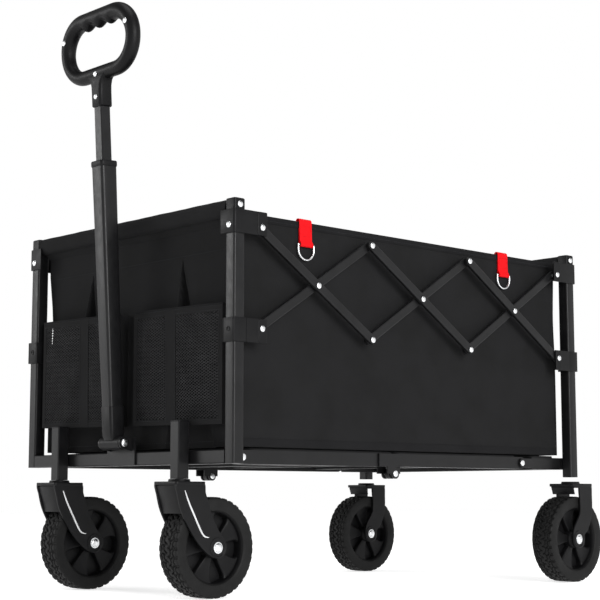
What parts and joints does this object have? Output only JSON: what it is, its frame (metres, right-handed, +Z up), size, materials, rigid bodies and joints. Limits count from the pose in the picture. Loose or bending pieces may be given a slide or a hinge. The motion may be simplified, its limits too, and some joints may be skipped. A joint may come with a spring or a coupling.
{
  "type": "folding camp wagon",
  "caption": "Folding fabric wagon with a scissor-linked steel frame, swivelling front casters, fixed rear casters and a telescoping pull handle.",
  "frame": {"origin": "on the ground under the middle of the object's box", "axes": "+X to the rear, the handle at -X; +Y to the wagon's left; +Z up"},
  "size_m": [1.0021, 0.6106, 0.9846],
  "materials": {
    "powder_coat": "satin black powder coat on steel",
    "nylon": "moulded black nylon",
    "grip_plastic": "soft-touch black plastic",
    "fabric": "matte black polyester",
    "mesh": "black polyester mesh",
    "webbing": "red woven webbing",
    "zinc": "bright zinc plate",
    "wheel_plastic": "moulded black plastic",
    "tread": "black rubbery tread"
  },
  "bodies": {
    "front_frame": {"front_posts": "powder_coat", "front_caps": "nylon", "front_brackets": "nylon", "front_crossbars": "powder_coat", "caster_stems": "powder_coat", "handle_bracket": "powder_coat", "front_wall": "fabric", "mesh_pockets": "mesh", "side_panel_right": "fabric", "side_panel_left": "fabric", "front_fasteners": "zinc"},
    "rear_frame": {"rear_posts": "powder_coat", "rear_caps": "nylon", "rear_brackets": "nylon", "rear_crossbars": "powder_coat", "rear_wall": "fabric", "rear_forks": "nylon", "rear_fasteners": "zinc", "floor_board_end": "fabric"},
    "floor_front": {"floor_frame_front": "powder_coat", "floor_board_front": "fabric", "mid_hinge_pins": "zinc"},
    "floor_rear": {"floor_frame_rear": "powder_coat", "floor_board_rear": "fabric"},
    "bar_a0": {"bar_a0": "powder_coat", "rivets_a0": "zinc"},
    "bar_a1": {"bar_a1": "powder_coat", "rivets_a1": "zinc"},
    "bar_a2": {"bar_a2": "powder_coat", "rivets_a2": "zinc"},
    "bar_d0": {"bar_d0": "powder_coat", "rivets_d0": "zinc"},
    "bar_d1": {"bar_d1": "powder_coat"},
    "bar_d2": {"bar_d2": "powder_coat"},
    "slider_front": {"slider_front": "nylon"},
    "slider_rear": {"slider_rear": "nylon"},
    "tabs_front": {"tabs_front": "webbing"},
    "tabs_rear": {"tabs_rear": "webbing"},
    "handle": {"handle_fitting": "nylon", "handle_outer_tube": "powder_coat", "handle_collar": "nylon"},
    "handle_top": {"handle_inner_tube": "powder_coat", "grip": "grip_plastic", "grip_screws": "zinc"},
    "ring_front_right": {"ring_front_right": "zinc"},
    "wheel_front_right": {"hub_front_right": "wheel_plastic", "tyre_front_right": "tread"},
    "ring_front_left": {"ring_front_left": "zinc"},
    "wheel_front_left": {"hub_front_left": "wheel_plastic", "tyre_front_left": "tread"},
    "ring_rear_right": {"ring_rear_right": "zinc"},
    "wheel_rear_right": {"hub_rear_right": "wheel_plastic", "tyre_rear_right": "tread"},
    "ring_rear_left": {"ring_rear_left": "zinc"},
    "wheel_rear_left": {"hub_rear_left": "wheel_plastic", "tyre_rear_left": "tread"},
    "caster_right": {"fork_right": "nylon", "axle_right": "zinc"},
    "caster_left": {"fork_left": "nylon", "axle_left": "zinc"}
  },
  "joints": [
    {"name": "fold", "type": "hinge", "parent": "front_frame", "child": "floor_front", "pos_m": [-0.38093, 0, 0.222], "axis": [0, -1, 0], "range_deg": [0, 84], "deforming": ["side_panel_right", "side_panel_left"]},
    {"name": "floor_middle", "type": "hinge", "parent": "floor_front", "child": "floor_rear", "pos_m": [-0.03493, 0, 0.199], "axis": [0, -1, 0], "range_deg": [-168.01, 0]},
    {"name": "floor_to_rear_frame", "type": "hinge", "parent": "floor_rear", "child": "rear_frame", "pos_m": [0.31107, 0, 0.222], "axis": [0, -1, 0], "range_deg": [0, 84.01]},
    {"name": "bar_a0_top", "type": "hinge", "parent": "front_frame", "child": "bar_a0", "pos_m": [-0.36793, 0, 0.583], "axis": [0, -1, 0], "range_deg": [-45.69, 0]},
    {"name": "cross_0", "type": "hinge", "parent": "bar_a0", "child": "bar_d0", "pos_m": [-0.2416, 0, 0.5025], "axis": [0, -1, 0], "range_deg": [0, 91.36]},
    {"name": "node_top_1", "type": "hinge", "parent": "bar_d0", "child": "bar_a1", "pos_m": [-0.11526, 0, 0.583], "axis": [0, -1, 0], "range_deg": [-91.36, 0]},
    {"name": "node_bottom_1", "type": "hinge", "parent": "bar_a0", "child": "bar_d1", "pos_m": [-0.11526, 0, 0.422], "axis": [0, -1, 0], "range_deg": [0, 91.36]},
    {"name": "bar_d2_top", "type": "hinge", "parent": "rear_frame", "child": "bar_d2", "pos_m": [0.39007, 0, 0.583], "axis": [0, -1, 0], "range_deg": [0, 45.69]},
    {"name": "cross_2", "type": "hinge", "parent": "bar_d2", "child": "bar_a2", "pos_m": [0.26374, 0, 0.5025], "axis": [0, -1, 0], "range_deg": [-91.36, 0]},
    {"name": "slider_front_pivot", "type": "hinge", "parent": "bar_d0", "child": "slider_front", "pos_m": [-0.36793, 0, 0.422], "axis": [0, -1, 0], "range_deg": [-45.69, 0]},
    {"name": "slider_rear_pivot", "type": "hinge", "parent": "bar_a2", "child": "slider_rear", "pos_m": [0.39007, 0, 0.422], "axis": [0, -1, 0], "range_deg": [0, 45.69]},
    {"name": "tabs_front_gather", "type": "slide", "parent": "front_frame", "child": "tabs_front", "axis": [-1, 0, 0], "range_m": [0, 0.08821]},
    {"name": "tabs_rear_gather", "type": "slide", "parent": "front_frame", "child": "tabs_rear", "axis": [-1, 0, 0], "range_m": [0, 0.47323]},
    {"name": "ring_front_right_swing", "type": "hinge", "parent": "tabs_front", "child": "ring_front_right", "pos_m": [-0.25093, -0.2638, 0.571], "axis": [-1, 0, 0], "range_deg": [0, 120]},
    {"name": "ring_front_left_swing", "type": "hinge", "parent": "tabs_front", "child": "ring_front_left", "pos_m": [-0.25093, 0.2638, 0.571], "axis": [1, 0, 0], "range_deg": [0, 120]},
    {"name": "ring_rear_right_swing", "type": "hinge", "parent": "tabs_rear", "child": "ring_rear_right", "pos_m": [0.25707, -0.2638, 0.571], "axis": [-1, 0, 0], "range_deg": [0, 120]},
    {"name": "ring_rear_left_swing", "type": "hinge", "parent": "tabs_rear", "child": "ring_rear_left", "pos_m": [0.25707, 0.2638, 0.571], "axis": [1, 0, 0], "range_deg": [0, 120]},
    {"name": "handle_tilt", "type": "hinge", "parent": "front_frame", "child": "handle", "pos_m": [-0.44193, 0, 0.248], "axis": [0, -1, 0], "range_deg": [-3, 100]},
    {"name": "handle_telescope", "type": "slide", "parent": "handle", "child": "handle_top", "axis": [-0.061, 0, 0.9981], "range_m": [-0.088, 0.25]},
    {"name": "caster_right_swivel", "type": "hinge", "parent": "front_frame", "child": "caster_right", "pos_m": [-0.43493, -0.167, 0.1963], "axis": [0, 0, 1], "continuous": true},
    {"name": "wheel_front_right_spin", "type": "hinge", "parent": "caster_right", "child": "wheel_front_right", "pos_m": [-0.37793, -0.167, 0.08], "axis": [0, 1, 0], "continuous": true},
    {"name": "caster_left_swivel", "type": "hinge", "parent": "front_frame", "child": "caster_left", "pos_m": [-0.43493, 0.167, 0.1963], "axis": [0, 0, 1], "continuous": true},
    {"name": "wheel_front_left_spin", "type": "hinge", "parent": "caster_left", "child": "wheel_front_left", "pos_m": [-0.37793, 0.167, 0.08], "axis": [0, 1, 0], "continuous": true},
    {"name": "wheel_rear_right_spin", "type": "hinge", "parent": "rear_frame", "child": "wheel_rear_right", "pos_m": [0.42107, -0.274, 0.08], "axis": [0, 1, 0], "continuous": true},
    {"name": "wheel_rear_left_spin", "type": "hinge", "parent": "rear_frame", "child": "wheel_rear_left", "pos_m": [0.42107, 0.274, 0.08], "axis": [0, 1, 0], "continuous": true}
  ],
  "couplings": [
    {"joint": "floor_middle", "follows": "fold", "ratio": -2},
    {"joint": "floor_to_rear_frame", "follows": "fold", "ratio": 1},
    {"joint": "bar_a0_top", "follows": "fold", "ratio": -0.54377},
    {"joint": "cross_0", "follows": "fold", "ratio": 1.0875},
    {"joint": "node_top_1", "follows": "fold", "ratio": -1.0875},
    {"joint": "node_bottom_1", "follows": "fold", "ratio": 1.0875},
    {"joint": "bar_d2_top", "follows": "fold", "ratio": 0.54377},
    {"joint": "cross_2", "follows": "fold", "ratio": -1.0875},
    {"joint": "slider_front_pivot", "follows": "fold", "ratio": -0.54377},
    {"joint": "slider_rear_pivot", "follows": "fold", "ratio": 0.54377},
    {"joint": "tabs_front_gather", "follows": "fold", "m_per_rad": 0.060161},
    {"joint": "tabs_rear_gather", "follows": "fold", "m_per_rad": 0.32278}
  ]
}
